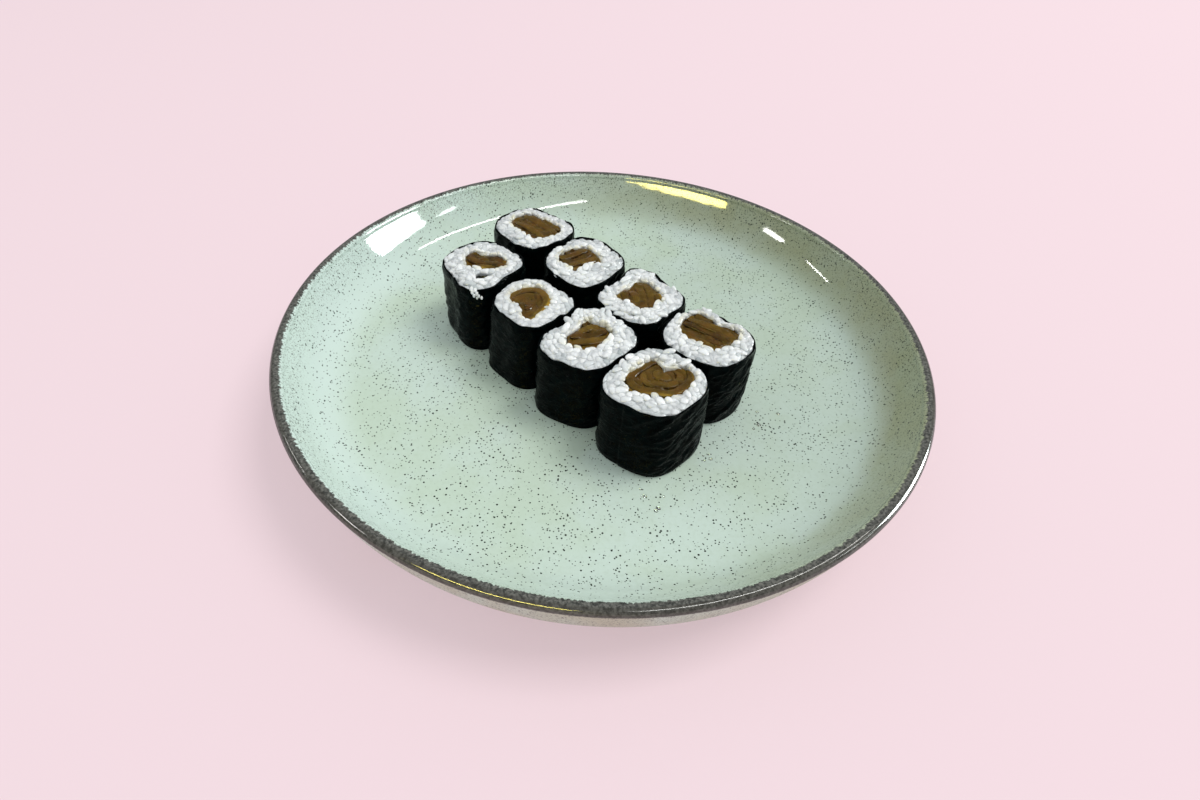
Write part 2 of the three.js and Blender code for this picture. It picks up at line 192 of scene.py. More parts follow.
# The colours of the finishes, as shares of red, green and blue.
TINTS = {
    "glaze": (0.525, 0.64, 0.53), "cloud": (0.565, 0.685, 0.615), "freckle": (0.36, 0.45, 0.33),
    # Painted light and shade in the next line: a dark grey tint greys one side of the floor, olive partly
    # shades the wall there, and a pale tint lights the wall opposite.
    "thin": (0.14, 0.18, 0.14), "olive": (0.3, 0.305, 0.15), "milky": (0.66, 0.8, 0.75),
    "buff": (0.47, 0.45, 0.32), "speck": (0.014, 0.02, 0.014), "dust": (0.05, 0.055, 0.035),
    "lip_charcoal": (0.03, 0.032, 0.029), "lip_grit": (0.165, 0.165, 0.148),
    "lip_brown": (0.036, 0.032, 0.022), "clay_dark": (0.36, 0.29, 0.21), "clay_light": (0.5, 0.42, 0.32),
    "nori_black": (0.0002, 0.0005, 0.0006), "nori_green": (0.0007, 0.003, 0.0032),
    # Painted shade: the rice's darkest tint greys it near the sheet, and hollow paints its hollows dark.
    "grey": (0.36, 0.4, 0.41), "white": (0.86, 0.88, 0.87), "bluish": (0.7, 0.75, 0.77),
    "clear": (0.54, 0.59, 0.59), "stained": (0.66, 0.61, 0.38), "hollow": (0.03, 0.03, 0.02),
    # Painted shade: the darkest gourd tints fall on the strips' edges, grooves and the sides between them.
    "fold": (0.006, 0.002, 0.0005), "brown": (0.046, 0.023, 0.003),
    "amber": (0.12, 0.071, 0.009), "golden": (0.42, 0.27, 0.035),
    "red": (0.17, 0.066, 0.012),
    "water": (0.95, 0.98, 0.96), "paper": (0.42, 0.333, 0.358), "paper_glow": (0.88, 0.71, 0.76),
}
# Painted shade: the ramp's dark end colours the gaps and grooves between strips.
GOURD_RAMP = [(0, "fold"), (0.3, "brown"), (0.6, "amber"), (1, "golden")]

# The studio's floor: half its width in metres, and how strongly it glows to keep the shadows faint.
STUDIO_FLOOR = {"reach": 6.0, "glow": 0.49}

# Each light: what it is for, its direction from the plate as an azimuth from +Y towards +X and an
# elevation, its distance in metres, its two sides, its power and its colour. A soft light lights
# the scene and has no reflection; a streak is seen only as a reflection.
LIGHTS = {
    "key_panel": ("soft", 78, 60, 3, (1.3, 1.3), 46, (1, 0.99, 0.96)),
    "tube": ("streak", 118, 57, 1.07, (1.2, 0.05), 6, (1, 1, 0.97)),
    "window_panel": ("streak", 83, 16, 1.2, (0.44, 0.42), 34, (0.9, 1, 0.97)),
    "window_slit": ("streak", 103, 18.5, 1.2, (0.19, 0.022), 0.4, (0.95, 1, 1)),
    "window_edge": ("streak", 105, 25, 1.2, (0.16, 0.024), 0.4, (0.95, 1, 1)),
    "warm_strip": ("streak", 205, 28, 1.1, (0.76, 0.08), 10, (1, 0.85, 0.2)),
    "side_strip": ("streak", 251, 28, 1.1, (0.17, 0.06), 1.3, (1, 0.99, 0.95)),
    "far_strip": ("streak", 277, 29, 1.1, (0.22, 0.016), 0.6, (1, 0.99, 0.95)),
}
WORLD = {"tint": (0.97, 0.99, 1), "strength": 0.76, "mirrored": 0.3}

# The camera stands in front of the plate, looks down at it and leans a little to one side.
CAMERA = {"at": (-0.62, -166.1, 155.1), "down": 45.29, "roll": 4.485, "focal_px": 641.08}
PHOTO_WIDTH = 1200
SENSOR_WIDTH = 36


def waves(points, size, seed):
    """A smooth random field of about unit height: the sum of sine waves, each with its own random
    direction, phase and a wavelength near size."""
    count = 14
    draw = np.random.default_rng(seed)
    directions = draw.normal(size=(count, 3))
    directions /= np.linalg.norm(directions, axis=1, keepdims=True)
    lengths = size * draw.uniform(0.7, 1.5, count)
    phases = draw.uniform(0, 2 * np.pi, count)
    turns = points @ (directions * (2 * np.pi / lengths)[:, None]).T
    return np.sin(turns + phases).sum(axis=-1) / math.sqrt(count / 2)


def turned_by(angle, towards):
    """How far directions are from one direction, between minus half a turn and half a turn."""
    return np.angle(np.exp(1j * (angle - towards)))


def spaced_turn(count):
    """Directions all round, evenly spaced."""
    return np.linspace(0, 2 * np.pi, count, endpoint=False)


def beside(*parts):
    """Arrays side by side on a new last axis, such as x, y and z of points."""
    return np.stack(np.broadcast_arrays(*parts), axis=-1)


def level(x, y):
    """Points with no height, where a field of waves is read."""
    return beside(x, y, 0 * x)


def around(middle, radius, angle):
    """x and y of points at a distance and a direction from a middle."""
    return middle[0] + radius * np.cos(angle), middle[1] + radius * np.sin(angle)


def smooth_step(values, low, high):
    """Rises smoothly from 0 at low to 1 at high."""
    share = np.clip((values - low) / (high - low), 0, 1)
    return share * share * (3 - 2 * share)


def outline_radius(outline, angle):
    """Distance from an uneven outline's middle to its edge: the size times one plus three cosines of
    twice, three and four times the angle, plus a bell-shaped notch."""
    share = 1
    for name, corners in (("stretch", 2), ("skew", 3), ("square", 4)):
        amount, towards = outline[name]
        share = share + amount * np.cos(corners * (angle - math.radians(towards)))
    radius = outline["size"] * share
    if "notch" in outline:
        depth, towards, width = outline["notch"]
        radius = radius + depth * bell(angle, towards, width)
    return radius


def bell(angle, towards, width):
    """One at the direction towards, falling to nothing over about twice the width, both in degrees."""
    return np.exp(-((turned_by(angle, math.radians(towards)) / math.radians(width)) ** 2))


def bezier(points, steps):
    """Points along a Bezier curve: each control point times its Bernstein weight."""
    points = np.array(points, float)
    share = np.linspace(0, 1, steps)[:, None]
    order = len(points) - 1
    weights = (math.comb(order, i) * share**i * (1 - share) ** (order - i) for i in range(order + 1))
    return sum(weight * point for weight, point in zip(weights, points))


def rounded(corners, reach, steps=6):
    """A line of corners with each inner corner turned into a small Bezier arc that starts and ends at
    reach from the corner."""
    corners = np.array(corners, float)
    line = [corners[:1]]
    for before, corner, after in zip(corners, corners[1:], corners[2:]):
        start = corner + (before - corner) * reach / np.linalg.norm(before - corner)
        end = corner + (after - corner) * reach / np.linalg.norm(after - corner)
        line.append(bezier([start, corner, end], steps))
    line.append(corners[-1:])
    return np.concatenate(line)


def grid_faces(rows, columns, closed_rows=False):
    """Four corners of each cell of a grid of points. They are numbered row by row, each row closed."""
    row, column = np.mgrid[:rows if closed_rows else rows - 1, :columns]
    here, above = row * columns, (row + 1) % rows * columns
    after = (column + 1) % columns
    return beside(here + column, here + after, above + after, above + column).reshape(-1, 4)


def capped_faces(rows, columns):
    """Faces of a grid closed round its columns, with a fan to one more point below its first row and one
    above its last row. These two points come after the grid's own."""
    here = np.arange(columns)
    after = (here + 1) % columns
    low = rows * columns
    last = (rows - 1) * columns
    bottom = beside(after, here, low)
    top = beside(last + here, last + after, low + 1)
    return [grid_faces(rows, columns), bottom, top]


def placed(name, data):
    """A new object in the scene."""
    made = bpy.data.objects.new(name, data)
    scene.collection.objects.link(made)
    return made


class Piece:
    """Collects surfaces of one piece, in millimetres, and makes them one smooth mesh object."""

    def __init__(self, name):
        self.name = name
        self.points = []
        self.faces = []
        self.tones = {"shade": [], "stain": []}
        self.count = 0

    def add(self, points, faces, shade=0.5, stain=0):
        """Adds closed surfaces that share their faces: points has a row of points for each surface, faces
        are arrays of corners, and shade and stain are numbers that the finish may read."""
        points = np.asarray(points, float)
        copies, size = points.shape[:2]
        starts = self.count + size * np.arange(copies)
        for block in faces:
            self.faces += (block[None] + starts[:, None, None]).reshape(-1, block.shape[1]).tolist()
        self.points.append(points.reshape(-1, 3))
        for name, tone in (("shade", shade), ("stain", stain)):
            self.tones[name].append(np.broadcast_to(tone, (copies, size)).ravel())
        self.count += copies * size

    def add_rings(self, rings, shade=0.5, stain=0):
        """Adds one surface whose rings of points follow one another and close to the first again."""
        faces = grid_faces(*rings.shape[:2], closed_rows=True)
        self.add(rings.reshape(1, -1, 3), [faces], shade, stain)

    def add_capped(self, rings, ends, shade=0.5):
        """Adds one surface of rings of points, closed by a point before them and a point after them."""
        points = np.concatenate([rings.reshape(-1, 3), ends])
        self.add(points[None], capped_faces(*rings.shape[:2]), shade)

    def make(self, material, slot, node):
        """Makes the object: it rides on the part's body, replaces its solid and has its finish."""
        mesh = bpy.data.meshes.new(self.name)
        points = np.concatenate(self.points) * MM
        mesh.from_pydata(points.tolist(), [], self.faces)
        mesh.polygons.foreach_set("use_smooth", np.ones(len(mesh.polygons), bool))
        for name, values in self.tones.items():
            tones = mesh.attributes.new(name, "FLOAT", "POINT")
            tones.data.foreach_set("value", np.concatenate(values).astype(np.float32))
        mesh.materials.append(material)
        mesh.update()
        piece = placed(self.name, mesh)
        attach(piece, "root")
        if node:
            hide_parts(node)


def tinted(name):
    """A named tint as red, green, blue and full opacity."""
    return (*TINTS[name], 1)


class Finish:
    """A material under construction, with short calls for the nodes used here."""

    def __init__(self, name):
        self.material = bpy.data.materials.new(name)
        self.material.use_nodes = True
        self.tree = self.material.node_tree
        self.shader = self.tree.nodes["Principled BSDF"]
        self.place = self.tree.nodes.new("ShaderNodeTexCoord").outputs["Object"]

    def node(self, kind, inputs=(), **settings):
        """A node with its settings, and its inputs given as values or as other nodes' outputs."""
        made = self.tree.nodes.new("ShaderNode" + kind)
        for key, value in settings.items():
            setattr(made, key, value)
        for key, value in dict(inputs).items():
            self.put(made.inputs[key], value)
        return made

    def put(self, socket, value):
        """Links a node's output to a socket, or sets the socket to a number, a vector or a named tint."""
        if isinstance(value, bpy.types.NodeSocket):
            self.tree.links.new(value, socket)
        elif isinstance(value, str):
            socket.default_value = tinted(value)
        else:
            socket.default_value = value

    def set(self, **values):
        """Sets the shader's own sockets. An underscore in a name stands for a space."""
        for key, value in values.items():
            self.put(self.shader.inputs[key.replace("_", " ")], value)

    def vector(self, operation, first, second=(0, 0, 0), output="Value"):
        return self.node("VectorMath", {0: first, 1: second}, operation=operation).outputs[output]

    def math(self, operation, first, second=0, third=0):
        inputs = {0: first, 1: second, 2: third}
        return self.node("Math", inputs, operation=operation).outputs[0]

    def noise(self, size, detail=3, place=None, rough=0.55):
        """Noise with features of about size millimetres."""
        inputs = {"Vector": place or self.place, "Scale": 1 / (size * MM)}
        inputs.update({"Detail": detail, "Roughness": rough})
        return self.node("TexNoise", inputs).outputs["Fac"]

    def span(self, value, low, high, to_low=0, to_high=1):
        """The value's range from low to high spread smoothly over another range."""
        inputs = {"Value": value, "From Min": low, "From Max": high, "To Min": to_low, "To Max": to_high}
        return self.node("MapRange", inputs, interpolation_type="SMOOTHSTEP").outputs["Result"]

    def rise(self, length, low, high):
        """From 0 to 1 as a length goes from low to high, both in millimetres."""
        return self.span(length, low * MM, high * MM)

    def blend(self, share, first, second):
        """The first colour where the share is 0, the second where it is 1. Input 6 and 7 take colours."""
        inputs = {"Factor": share, 6: first, 7: second}
        return self.node("Mix", inputs, data_type="RGBA").outputs[2]

    def times(self, first, second):
        return self.math("MULTIPLY", first, second)

    def tone(self, name):
        """A number that the piece's mesh holds for each point."""
        return self.node("Attribute", attribute_name=name).outputs["Fac"]

    def bump(self, height, depth, under=None):
        """Relief of the given depth in millimetres, over another relief."""
        inputs = {"Height": height, "Strength": 1, "Distance": depth * MM}
        if under:
            inputs["Normal"] = under
        return self.node("Bump", inputs).outputs["Normal"]


def glaze_finish():
    """Pale green glaze with soft clouds and dark specks: greyer on one side of the floor, which is painted
    shade; olive and darker on the wall above it, partly the glaze's own colour and partly painted shade;
    pale on the wall opposite, which is painted light; buff outside, with a charcoal lip and a foot of bare
    clay."""
    glaze = Finish("speckled_glaze")
    flat = glaze.vector("MULTIPLY", glaze.place, (1, 1, 0), "Vector")
    radius = glaze.vector("LENGTH", flat)
    height = glaze.node("SeparateXYZ", {0: glaze.place}).outputs["Z"]
    outwards = glaze.vector("NORMALIZE", flat, output="Vector")
    turned = math.radians(WALL_TINT["towards"])
    side = glaze.vector("DOT_PRODUCT", outwards, (math.cos(turned), math.sin(turned), 0))
    facing = glaze.vector("DOT_PRODUCT", outwards, glaze.node("NewGeometry").outputs["Normal"])

    tint = glaze.blend(glaze.span(glaze.noise(26, 3), 0.36, 0.66), "glaze", "cloud")
    freckles = glaze.times(glaze.span(glaze.noise(1.3, 2), 0.45, 0.75), 0.16)
    tint = glaze.blend(freckles, tint, "freckle")
    # Painted shade: the floor greys out from its middle towards one side.
    thin = glaze.times(glaze.rise(radius, 22, 70), glaze.span(side, 0, 0.9, 0, 0.24))
    tint = glaze.blend(thin, tint, "thin")
    # Olive on the wall towards one side: partly the glaze's own colour, partly painted shade of that wall.
    wall = glaze.rise(radius, WALL_TINT["from"], WALL_TINT["to"])
    wall = glaze.times(wall, glaze.span(side, -0.4, 0.75, 0, 0.72))
    wall = glaze.times(wall, glaze.span(glaze.noise(14, 3), 0.25, 0.7, 0.7, 1))
    tint = glaze.blend(wall, tint, "olive")
    # Painted light: the wall on the opposite side is paler, as if lit.
    milky = glaze.times(glaze.rise(radius, 80, 92), glaze.span(side, -0.2, -0.95, 0, 0.85))
    tint = glaze.blend(milky, tint, "milky")
    outside = glaze.span(facing, 0.05, 0.3)
    buff = glaze.times(outside, glaze.span(glaze.noise(22, 2), 0.35, 0.65, 0.25, 0.85))
    tint = glaze.blend(buff, tint, "buff")
    for size, reach, share in SPECKS:
        tint = glaze.blend(speck_mask(glaze, size, reach, share), tint, "speck")
    dusty = glaze.math("MAXIMUM", glaze.rise(radius, 93, 99.5), glaze.times(wall, 0.7))
    dust = glaze.times(glaze.span(glaze.noise(0.5, 2), 0.53, 0.64), dusty)
    tint = glaze.blend(glaze.times(dust, 0.6), tint, "dust")

    band = lip_mask(glaze, outwards, radius, height)
    grit = glaze.span(glaze.noise(0.8, 3, rough=0.65), 0.33, 0.7)
    dark = glaze.blend(grit, "lip_charcoal", "lip_grit")
    dark = glaze.blend(glaze.times(outside, 0.45), dark, "lip_brown")
    tint = glaze.blend(band, tint, dark)
    bare = glaze.rise(height, 0.9, 0.5)
    tint = glaze.blend(bare, tint, glaze.blend(glaze.noise(0.8, 4), "clay_dark", "clay_light"))
    glaze.set(Base_Color=tint, IOR=1.52)

    gloss = glaze.span(glaze.noise(9, 3), 0.3, 0.7, 0.02, 0.055)
    gloss = glaze.math("MAXIMUM", gloss, glaze.times(band, 0.12))
    gloss = glaze.math("MAXIMUM", gloss, glaze.span(facing, 0.74, 0.86, 0, 0.42))
    glaze.set(Roughness=glaze.math("MAXIMUM", gloss, glaze.times(bare, 0.85)))
    ripple = glaze.bump(glaze.noise(7, 2), 0.03)
    glaze.set(Normal=glaze.bump(glaze.noise(0.5, 3), 0.006, ripple))
    return glaze.material


def speck_mask(glaze, size, reach, share):
    """Round specks: some cells of a pattern hold one at their middle, larger where noise makes clusters."""
    cells = glaze.node("TexVoronoi", {"Vector": glaze.place, "Scale": 1 / (size * MM), "Randomness": 1})
    chance = glaze.node("SeparateColor", {0: cells.outputs["Color"]})
    clusters = glaze.span(glaze.noise(size * 6, 2), 0.3, 0.7, 0.6, 1)
    reach_here = glaze.math("MULTIPLY_ADD", chance.outputs[0], 0.55 * reach, 0.45 * reach)
    inside = glaze.math("SUBTRACT", glaze.times(reach_here, clusters), cells.outputs["Distance"])
    kept = glaze.math("LESS_THAN", chance.outputs[1], share)
    return glaze.times(glaze.span(inside, 0, 0.05), kept)


def lip_mask(glaze, outwards, radius, height):
    """The dark band round the lip, frayed by a noise that is read on a circle, so that it has no seam."""
    apart = glaze.node("SeparateXYZ", {0: outwards})
    circle = glaze.node("CombineXYZ", {
        0: glaze.times(apart.outputs["X"], LIP["middle"] * MM),
        1: glaze.times(apart.outputs["Y"], LIP["middle"] * MM),
        2: glaze.times(radius, 0.3),
    }).outputs["Vector"]
    fray = glaze.math("SUBTRACT", glaze.noise(0.8, 3, circle), 0.5)
    inner = glaze.math("MULTIPLY_ADD", fray, LIP_BAND["fray"] * MM, radius)
    outer = glaze.math("MULTIPLY_ADD", fray, LIP_BAND["outer_fray"] * MM, height)
    return glaze.times(glaze.rise(inner, *LIP_BAND["inner"]), glaze.rise(outer, *LIP_BAND["outer"]))


def nori_finish():
    """Moist roasted seaweed: near black green, mottled, softly wet in patches, with a fine relief."""
    nori = Finish("moist_nori")
    tint = nori.blend(nori.span(nori.noise(2.2, 4), 0.35, 0.7), "nori_black", "nori_green")
    wet = nori.span(nori.noise(3.5, 3), 0.4, 0.65, 0.14, 0.36)
    nori.set(Base_Color=tint, Roughness=wet, IOR=1.4, Specular_IOR_Level=0.035)
    fibres = nori.node("Mapping", {"Vector": nori.place, "Scale": (1, 1, 2.4)}).outputs["Vector"]
    wrinkles = nori.bump(nori.noise(2.2, 2, fibres, 0.5), 0.25)
    nori.set(Normal=nori.bump(nori.noise(0.5, 3), 0.02, wrinkles))
    return nori.material


def rice_finish():
    """Cooked rice: white, bluish and clearer in patches, a little translucent and moist, stained next to
    the filling; greyer towards the sheet and near black in its hollows, both painted shade."""
    rice = Finish("cooked_rice")
    shade = rice.tone("shade")
    # The shade tone is random tone, plus painted shade towards the sheet and in the hollows.
    tint = rice.blend(shade, "grey", "white")
    tint = rice.blend(rice.times(rice.span(rice.noise(1.2, 3), 0.35, 0.7), 0.35), tint, "bluish")
    tint = rice.blend(rice.times(rice.span(rice.noise(5.5, 2), 0.5, 0.72), 0.35), tint, "clear")
    stain = rice.times(rice.tone("stain"), rice.span(rice.noise(3, 2), 0.4, 0.65, 0.1, 0.6))
    tint = rice.blend(stain, tint, "stained")
    # Painted shade: the hollows are painted near black.
    tint = rice.blend(rice.span(shade, 0, -1), tint, "hollow")
    rice.set(Base_Color=tint, Roughness=rice.span(rice.noise(0.9, 3), 0.3, 0.7, 0.18, 0.42), IOR=1.4)
    rice.set(Subsurface_Weight=0.45, Subsurface_Radius=(1, 0.95, 0.85), Subsurface_Scale=0.9 * MM)
    lumps = rice.bump(rice.noise(1.6, 2), 0.3)
    rice.set(Normal=rice.bump(rice.noise(0.6, 3), 0.12, lumps))
    return rice.material


def gourd_finish():
    """Simmered gourd: dark brown in the folds, amber between them and golden at the slender edges. The dark
    brown is painted shade on the strips' edges, grooves and the sides between them.
    """
    gourd = Finish("simmered_gourd")
    lowered = gourd.math("SUBTRACT", gourd.tone("shade"), 0.25)
    mottle = gourd.math("MULTIPLY_ADD", gourd.noise(2.8, 3), 0.5, lowered)
    ramp = gourd.node("ValToRGB", {0: mottle})
    bar = ramp.color_ramp
    while len(bar.elements) < len(GOURD_RAMP):
        bar.elements.new(0.5)
    for element, (where, name) in zip(bar.elements, GOURD_RAMP):
        element.position = where
        element.color = tinted(name)
    warm = gourd.span(gourd.noise(4.5, 2), 0.45, 0.65, 0, 0.25)
    tint = gourd.blend(warm, ramp.outputs["Color"], "red")
    gourd.set(Base_Color=tint, IOR=1.4, Specular_IOR_Level=0.3)
    gourd.set(Roughness=gourd.span(gourd.noise(1.6, 2), 0.3, 0.7, 0.14, 0.3))
    gourd.set(Subsurface_Weight=0.25, Subsurface_Radius=(1, 0.45, 0.12), Subsurface_Scale=1 * MM)
    gourd.set(Normal=gourd.bump(gourd.noise(1.2, 2), 0.07))
    return gourd.material


def water_finish():
    """Clear droplets."""
    water = Finish("clear_water")
    water.set(Base_Color="water", Roughness=0.03, IOR=1.33, Transmission_Weight=0.9)
    return water.material


def plate():
    """The plate: its section turned round the axis. Each ring of the grid is one point of the section,
    and a point on the axis closes it at both ends."""
    foot = rounded([
        (3, FOOT["height"]), (FOOT["inner"], FOOT["height"]), (FOOT["flat_from"], 0), (FOOT["flat_to"], 0),
        (FOOT["outer"], FOOT["height"]), (OUTER_WALL[0][0], FOOT["height"]),
    ], FOOT["soft"])
    underside = beside(np.linspace(3, 50, 12), FOOT["height"])
    turn = np.linspace(0, np.pi, 26)[1:-1, None]
    lip = np.concatenate([np.cos(turn), np.sin(turn)], 1) * LIP["radius"] + (LIP["middle"], LIP["z"])
    floor = beside(np.linspace(FLOOR["radius"], 3, 40)[1:], FLOOR["z"])
    outer, inner = bezier(OUTER_WALL, 48), bezier(INNER_WALL, 60)
    section = np.concatenate([underside, foot[1:-1], outer, lip, inner, floor])
    angle = spaced_turn(PLATE_SIDES)
    radius, height = section[:, :1], section[:, 1:]
    points = beside(radius * np.cos(angle), radius * np.sin(angle), height + 0 * angle)
    ends = np.array([(0, 0, FOOT["height"]), (0, 0, FLOOR["z"])], float)
    piece = Piece("plate_glazed")
    piece.add_capped(points, ends)
    return piece


def gap_depth(roll, angle):
    """How far the sheet pinches in, in each direction: the sum of the roll's bell-shaped gaps."""
    return sum((depth * bell(angle, towards, width) for towards, depth, width in roll["gaps"]), 0 * angle)


def roll_points(roll, radius, angle, height):
    """Points round a roll at a height above its foot, shifted and widened more the lower they are."""
    x, y, wider = roll["base"]
    low = 1 - height / ROLL_HEIGHT
    middle = (roll["at"][0] + low * x, roll["at"][1] + low * y)
    along, across = around(middle, radius + low * wider, angle)
    return beside(along, across, height + REST_HEIGHT)


def ridges(along, across, kind, seed):
    """Folds of one kind: narrow ridges where a field of waves, drawn out along the slant, crosses zero."""
    size, longer, depth = FOLDS[kind]
    return depth * (1 - np.abs(waves(level(along / longer, across), size, seed)))


def creases(points, seed):
    """Relief of the moist sheet: long and fine ridges on the sheet laid flat and turned by the slant."""
    slant = math.radians(FOLDS["slant"])
    x, y, z = np.moveaxis(points - points.mean(axis=(0, 1)), -1, 0)
    direction = np.arctan2(y, x)
    round_roll = direction * MEAN_RADIUS
    along = round_roll * math.cos(slant) + z * math.sin(slant)
    across = z * math.cos(slant) - round_roll * math.sin(slant)
    facing = np.cos(direction - math.radians(FOLDS["fine_towards"]))
    folded = 0.25 + 0.75 * smooth_step(facing, -0.3, 0.7)
    relief = ridges(along, across, "long", seed) + folded * ridges(along, across, "fine", seed + 50)
    return np.clip(relief - FOLDS_SUNK, -FOLDS_LIMIT, FOLDS_LIMIT)


def nori(name, roll, seed):
    """The sheet round one roll: a wall whose rings go up outside, over the cut edge and down inside.
    Each ring is the roll's outline, less the tuck at the cut edges, plus the creases and the overlap."""
    angle = spaced_turn(ROLL_SIDES)
    top_tuck = ROLL_HEIGHT - TUCK_HEIGHT
    at_edge = np.array([0, 0.15, 0.5, 1.1])
    between = np.linspace(TUCK_HEIGHT, top_tuck, 44)
    height = np.concatenate([at_edge, between, ROLL_HEIGHT - at_edge[::-1]])[:, None]
    edge = np.maximum(smooth_step(height, TUCK_HEIGHT, 0), smooth_step(height, top_tuck, ROLL_HEIGHT))
    ring = level(*around((0, 0), MEAN_RADIUS, angle))
    ragged = RAGGED["depth"] * waves(ring, RAGGED["size"], seed + 9)
    lift = smooth_step(height, ROLL_HEIGHT - RAGGED["reach"], ROLL_HEIGHT) * ragged
    outline = outline_radius(roll, angle)
    pinch = gap_depth(roll, angle) * smooth_step(height, ROLL_HEIGHT - GAP_REACH, ROLL_HEIGHT)
    flat = roll_points(roll, outline + 0 * height, angle, height + 0 * angle)
    relief = creases(flat, seed) * (1 - edge)
    past_seam = turned_by(angle, math.radians(SEAM["at"] + SEAM["turn"] * (seed % 3)))
    step = SEAM["step"] * smooth_step(past_seam, -SEAM["sharp"], SEAM["sharp"])
    step = step * smooth_step(past_seam, *SEAM["fades"])
    outer = outline - NORI_TUCK * edge + relief + step - GAP_OUTSIDE * pinch
    inner = outline - NORI_TUCK * edge - NORI_THICK - 0.2 * (1 - edge) - pinch
    rings = np.concatenate([
        roll_points(roll, outer, angle, height + lift),
        roll_points(roll, inner[::-1], angle, (height + lift)[::-1]),
    ])
    piece = Piece(f"nori_sheet_{name}")
    piece.add_rings(rings)
    return piece


def rice_edge(roll, angle):
    """Radius of the rice's outer edge: just inside the sheet, further in where the sheet pinches in."""
    return outline_radius(roll, angle) - NORI_TUCK - NORI_THICK - 0.1 - gap_depth(roll, angle)


def heap_rise(roll, angle):
    """How proud the rice stands in each direction: all of the heap on the far side, none on the near."""
    return roll["heap"] * (0.5 + 0.5 * np.sin(angle)) ** 2


def ring_place(roll, angle, share):
    """A place on the rice between the sheet, share 0, and the filling, share 1, and its mean height."""
    edge = rice_edge(roll, angle)
    filling = roll["filling"]
    hole_x, hole_y = around(filling["at"], outline_radius(filling, angle) + 0.15, angle)
    x = edge * np.cos(angle) * (1 - share) + hole_x * share
    y = edge * np.sin(angle) * (1 - share) + hole_y * share
    top = np.interp(share, np.linspace(0, 1, len(RICE_TOP)), RICE_TOP)
    return x, y, top + (1 - share) * heap_rise(roll, angle)


def pit_share(roll, x, y):
    """How much of the depth of a hollow in the rice a place has, which also sets its painted shade: a bell
    round each hollow.
    """
    away = [((x - pit_x) ** 2 + (y - pit_y) ** 2) / reach**2 for pit_x, pit_y, reach in roll["pits"]]
    return sum((np.exp(-square) for square in away), 0 * x)


def rice_core(piece, roll, seed):
    """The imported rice: rings go up its outside, in over a lumpy top and down round the filling."""
    angle = spaced_turn(ROLL_SIDES)
    share = np.linspace(0, 1, 34)[:, None]
    x, y, z = ring_place(roll, angle, share)
    z = z - 0.15 + 0.25 * waves(level(x, y), 3.2, seed) - PIT_DEPTH * pit_share(roll, x, y)
    z = z - 0.4 * smooth_step(share, 0.12, 0) - 0.3 * smooth_step(share, 0.9, 1)
    top = beside(x + roll["at"][0], y + roll["at"][1], z + REST_HEIGHT)
    side_height = np.linspace(0, RICE_SIDE, 12)[:, None]
    outer = roll_points(roll, rice_edge(roll, angle) + 0 * side_height, angle, side_height + 0 * angle)
    hole = np.repeat(top[-1:], 6, axis=0)
    hole[..., 2] = np.linspace(RICE_SIDE, 0, 6)[:, None] + REST_HEIGHT
    rings = np.concatenate([outer, top, hole])
    stain = np.zeros(rings.shape[:2])
    gap = -filling_depth(roll["filling"], x, y)
    stain[len(outer):-len(hole)] = smooth_step(gap, RICE_TONE["stained"], 0)
    shade = np.full(rings.shape[:2], RICE_TONE["core"])
    # Painted shade: the rice is darker in its hollows.
    shade[len(outer):-len(hole)] -= RICE_TONE["pit"] * pit_share(roll, x, y)
    piece.add_rings(rings, shade.ravel(), stain.ravel())


def grain_shape():
    """One grain along X: rings of a spindle whose radius is the square root of one minus the distance to
    its middle to the power 2.6, so that its ends are blunt."""
    along = np.array([-0.9, -0.62, -0.22, 0.22, 0.62, 0.9])[:, None]
    turn = spaced_turn(8)
    radius = np.sqrt(1 - np.abs(along) ** 2.6)
    width = GRAIN["width"] / 2 * radius * np.cos(turn)
    thick = GRAIN["thickness"] / 2 * radius * np.sin(turn)
    rings = beside(along * GRAIN["length"] / 2 + 0 * turn, width, thick)
    ends = np.array([(-GRAIN["length"] / 2, 0, 0), (GRAIN["length"] / 2, 0, 0)])
    return np.concatenate([rings.reshape(-1, 3), ends]), capped_faces(len(along), len(turn))


def turning(yaw, tilt):
    """Matrices that tilt a grain's end up and then turn it about the upright."""
    cos_t, sin_t, cos_y, sin_y = np.cos(tilt), np.sin(tilt), np.cos(yaw), np.sin(yaw)
    rows = [[cos_y * cos_t, -sin_y, -cos_y * sin_t], [sin_y * cos_t, cos_y, -sin_y * sin_t],
            [sin_t, 0 * yaw, cos_t]]
    return np.moveaxis(np.array(rows), -1, 0)


def add_grains(piece, places, yaw, tilt, scale, shade, keep=lambda points: (points, 0)):
    """Puts grains at places, turned, scaled and then pressed into shape by keep, which gives the points
    and how stained they are, or left as they are."""
    shape, faces = grain_shape()
    turned = np.einsum("nij,nkj->nki", turning(yaw, tilt), shape[None] * scale[:, None, :])
    points, stain = keep(turned + places[:, None, :])
    piece.add(points, faces, shade[:, None], stain)


